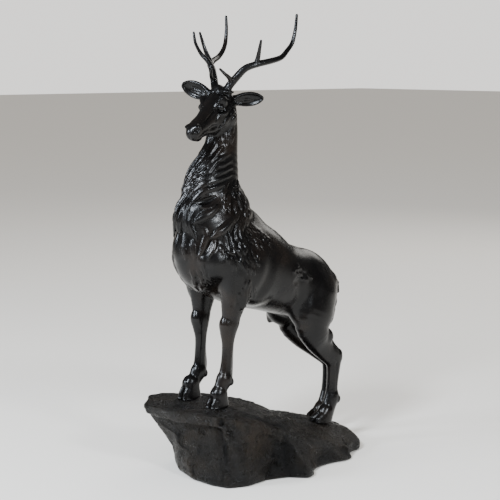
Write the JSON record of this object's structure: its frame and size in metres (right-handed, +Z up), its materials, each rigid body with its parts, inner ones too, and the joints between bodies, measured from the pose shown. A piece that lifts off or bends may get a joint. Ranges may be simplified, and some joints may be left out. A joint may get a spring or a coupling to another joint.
{
  "type": "stag statue",
  "caption": "Dark bronze statue of a stag standing on a rocky outcrop, head raised and turned, with wide branched antlers.",
  "frame": {"origin": "on the flat underside of the rock, below the middle of the stag", "axes": "+Z up, the stag looks along -X, its left side is at -Y"},
  "size_m": [0.2605, 0.1734, 0.4797],
  "materials": {
    "bronze": "near-black brown patina over cast bronze, glossy on the stag, more matt and browner on the rock"
  },
  "bodies": {
    "root": {"stag_on_rock": "bronze"}
  },
  "joints": []
}
